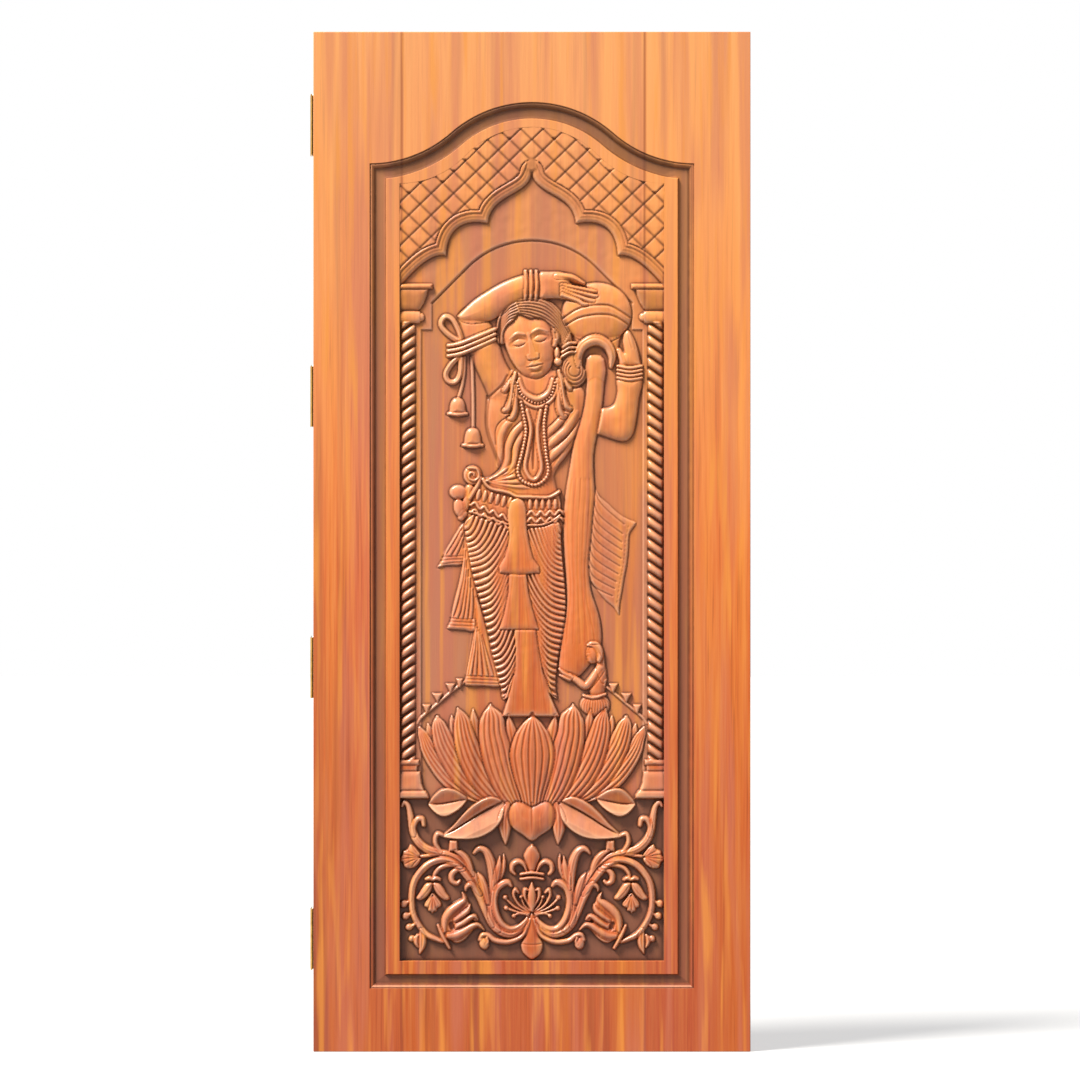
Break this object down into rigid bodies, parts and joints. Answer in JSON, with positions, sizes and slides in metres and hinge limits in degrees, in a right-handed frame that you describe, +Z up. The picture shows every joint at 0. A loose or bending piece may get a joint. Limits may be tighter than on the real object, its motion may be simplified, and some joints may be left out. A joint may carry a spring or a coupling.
{
  "type": "door",
  "caption": "Solid wood door leaf with a carved arched panel of a figure pouring water from a pot, edge-glued boards, hung on brass butt hinges.",
  "frame": {"origin": "middle of the leaf's foot, in the middle of its thickness", "axes": "+Z up the leaf, +X to the right as seen from the carved front, -Y out of the carved front"},
  "size_m": [0.9085, 0.06, 2.1],
  "materials": {
    "wood": "oiled, semi-gloss",
    "brass": "satin",
    "steel": "satin"
  },
  "bodies": {
    "jamb_side": {"hinge_1_jamb_flap": "brass", "hinge_2_jamb_flap": "brass", "hinge_3_jamb_flap": "brass", "hinge_4_jamb_flap": "brass", "hinge_1_pin": "steel", "hinge_2_pin": "steel", "hinge_3_pin": "steel", "hinge_4_pin": "steel"},
    "leaf": {"left_board": "wood", "centre_board": "wood", "right_board": "wood", "leaf_screws": "brass", "hinge_1_leaf_flap": "brass", "hinge_2_leaf_flap": "brass", "hinge_3_leaf_flap": "brass", "hinge_4_leaf_flap": "brass"}
  },
  "joints": [
    {"name": "door_swing", "type": "hinge", "parent": "jamb_side", "child": "leaf", "pos_m": [-0.4515, 0.0305, 1.07], "axis": [0, 0, 1], "range_deg": [0, 180]}
  ]
}
